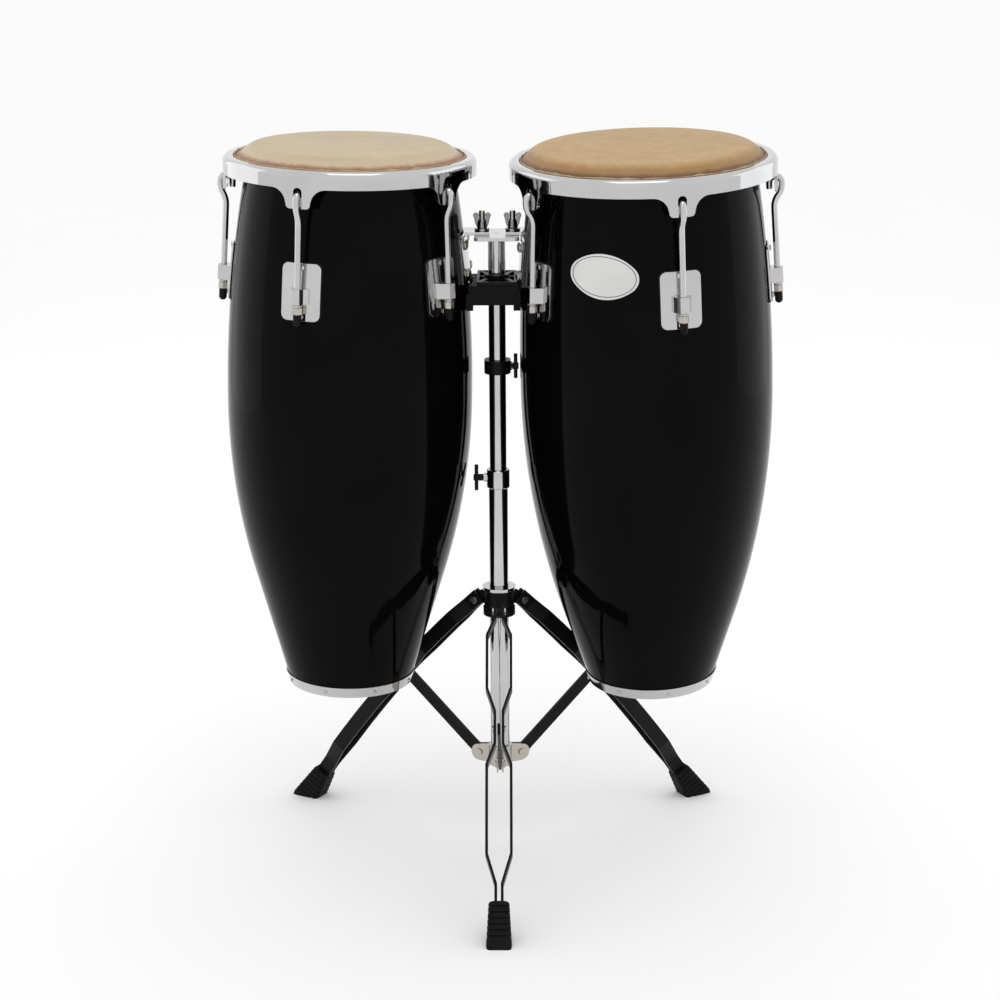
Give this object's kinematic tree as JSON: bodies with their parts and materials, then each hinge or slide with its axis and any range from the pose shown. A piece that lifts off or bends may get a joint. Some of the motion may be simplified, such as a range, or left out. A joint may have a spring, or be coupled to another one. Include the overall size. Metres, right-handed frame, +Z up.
{
  "type": "conga drums",
  "caption": "Conga drums with rawhide heads, tuned by hooks and nuts, hung from brackets on a height-adjustable double stand with folding legs.",
  "frame": {"origin": "on the floor, at the middle of the footprint of the whole object", "axes": "+Z up, -Y toward the player, +X to the player's right as they face the drums"},
  "size_m": [0.7172, 0.5209, 0.9504],
  "materials": {
    "lacquer": "black gloss lacquer",
    "rawhide_left": "satin translucent hide",
    "rawhide_right": "satin translucent hide",
    "chrome": "polished",
    "nickel": "bright plated",
    "steel": "plain wire",
    "black_metal": "satin powder coat",
    "rubber": "moulded",
    "gasket": "soft sheet",
    "nylon": "moulded",
    "badge": "lacquered"
  },
  "bodies": {
    "base": {"lower_tube": "chrome", "tube_bushing": "nylon", "height_collar": "chrome", "spider": "nickel", "spider_pins": "nickel"},
    "height_screw": {"height_screw": "black_metal"},
    "hub": {"leg_hub": "black_metal", "hub_flange": "chrome", "hub_ring": "black_metal", "hub_pins": "nickel"},
    "mast": {"upper_tube": "chrome", "top_plate": "chrome", "bumper_bracket": "black_metal", "bumper": "rubber", "clamp_bolts": "nickel"},
    "memory_lock": {"memory_lock": "black_metal"},
    "memory_screw": {"memory_screw": "black_metal"},
    "left_wing_nut": {"left_wing_nut": "chrome"},
    "right_wing_nut": {"right_wing_nut": "chrome"},
    "front_leg": {"front_leg": "black_metal", "front_leg_rivets": "nickel", "front_foot": "rubber"},
    "front_brace": {"front_brace": "black_metal"},
    "left_leg": {"left_leg": "black_metal", "left_leg_rivets": "nickel", "left_foot": "rubber"},
    "left_brace": {"left_brace": "black_metal"},
    "right_leg": {"right_leg": "black_metal", "right_leg_rivets": "nickel", "right_foot": "rubber"},
    "right_brace": {"right_brace": "black_metal"},
    "left_drum": {"left_shell": "lacquer", "left_tuning_nuts": "nickel", "left_rod_caps": "rubber", "left_side_plates": "chrome", "left_plate_gaskets": "gasket", "left_plate_bolts": "chrome", "left_bottom_band": "chrome", "left_band_screws": "nickel", "left_bracket": "chrome", "left_bracket_bolts": "nickel"},
    "left_head": {"left_head": "rawhide_left", "left_flesh_hoop": "steel", "left_rim": "chrome", "left_hooks": "chrome"},
    "right_drum": {"right_shell": "lacquer", "right_tuning_nuts": "nickel", "right_rod_caps": "rubber", "right_side_plates": "chrome", "right_plate_gaskets": "gasket", "right_plate_bolts": "chrome", "right_bottom_band": "chrome", "right_band_screws": "nickel", "right_bracket": "chrome", "right_bracket_bolts": "nickel", "right_badge": "badge"},
    "right_head": {"right_head": "rawhide_right", "right_flesh_hoop": "steel", "right_rim": "chrome", "right_hooks": "chrome"}
  },
  "joints": [
    {"name": "height_slide", "type": "slide", "parent": "base", "child": "mast", "axis": [0, 0, 1], "range_m": [0, 0.15]},
    {"name": "height_screw_spin", "type": "hinge", "parent": "base", "child": "height_screw", "pos_m": [0, 0.078, 0.51], "axis": [-1, 0, 0], "continuous": true},
    {"name": "memory_lock_slide", "type": "slide", "parent": "mast", "child": "memory_lock", "axis": [0, 0, 1], "range_m": [-0.12, 0.055]},
    {"name": "memory_screw_spin", "type": "hinge", "parent": "memory_lock", "child": "memory_screw", "pos_m": [0, 0.078, 0.65875], "axis": [1, 0, 0], "continuous": true},
    {"name": "left_wing_nut_spin", "type": "hinge", "parent": "mast", "child": "left_wing_nut", "pos_m": [-0.0182, 0.078, 0.84], "axis": [0, 0, 1], "continuous": true},
    {"name": "right_wing_nut_spin", "type": "hinge", "parent": "mast", "child": "right_wing_nut", "pos_m": [0.0205, 0.078, 0.84], "axis": [0, 0, 1], "continuous": true},
    {"name": "hub_slide", "type": "slide", "parent": "base", "child": "hub", "axis": [0, 0, 1], "range_m": [0, 0.07]},
    {"name": "front_leg_fold", "type": "hinge", "parent": "hub", "child": "front_leg", "pos_m": [0, 0.043, 0.338], "axis": [1, 0, 0], "range_deg": [0, 18.7]},
    {"name": "front_brace_fold", "type": "hinge", "parent": "base", "child": "front_brace", "pos_m": [0, 0.047, 0.121], "axis": [-1, 0, 0], "range_deg": [0, 22.31]},
    {"name": "right_leg_fold", "type": "hinge", "parent": "hub", "child": "right_leg", "pos_m": [0.03031, 0.0955, 0.338], "axis": [-0.5, 0.866, 0], "range_deg": [0, 18.7]},
    {"name": "right_brace_fold", "type": "hinge", "parent": "base", "child": "right_brace", "pos_m": [0.02685, 0.0935, 0.121], "axis": [0.5, -0.866, 0], "range_deg": [0, 22.31]},
    {"name": "left_leg_fold", "type": "hinge", "parent": "hub", "child": "left_leg", "pos_m": [-0.03031, 0.0955, 0.338], "axis": [-0.5, -0.866, 0], "range_deg": [0, 18.7]},
    {"name": "left_brace_fold", "type": "hinge", "parent": "base", "child": "left_brace", "pos_m": [-0.02685, 0.0935, 0.121], "axis": [0.5, 0.866, 0], "range_deg": [0, 22.31]},
    {"name": "left_drum_release", "type": "slide", "parent": "mast", "child": "left_drum", "axis": [-1, 0, 0], "range_m": [0, 0.1]},
    {"name": "left_head_slacken", "type": "slide", "parent": "left_drum", "child": "left_head", "axis": [0.0227, 0, 0.9997], "range_m": [0, 0.003]},
    {"name": "right_drum_release", "type": "slide", "parent": "mast", "child": "right_drum", "axis": [1, 0, 0], "range_m": [0, 0.1]},
    {"name": "right_head_slacken", "type": "slide", "parent": "right_drum", "child": "right_head", "axis": [-0.0262, -0.0349, 0.999], "range_m": [0, 0.003]}
  ],
  "couplings": [
    {"joint": "front_leg_fold", "follows": "hub_slide", "rad_per_m": 4.65},
    {"joint": "front_brace_fold", "follows": "hub_slide", "rad_per_m": 5.55},
    {"joint": "right_leg_fold", "follows": "hub_slide", "rad_per_m": 4.65},
    {"joint": "right_brace_fold", "follows": "hub_slide", "rad_per_m": 5.55},
    {"joint": "left_leg_fold", "follows": "hub_slide", "rad_per_m": 4.65},
    {"joint": "left_brace_fold", "follows": "hub_slide", "rad_per_m": 5.55}
  ]
}
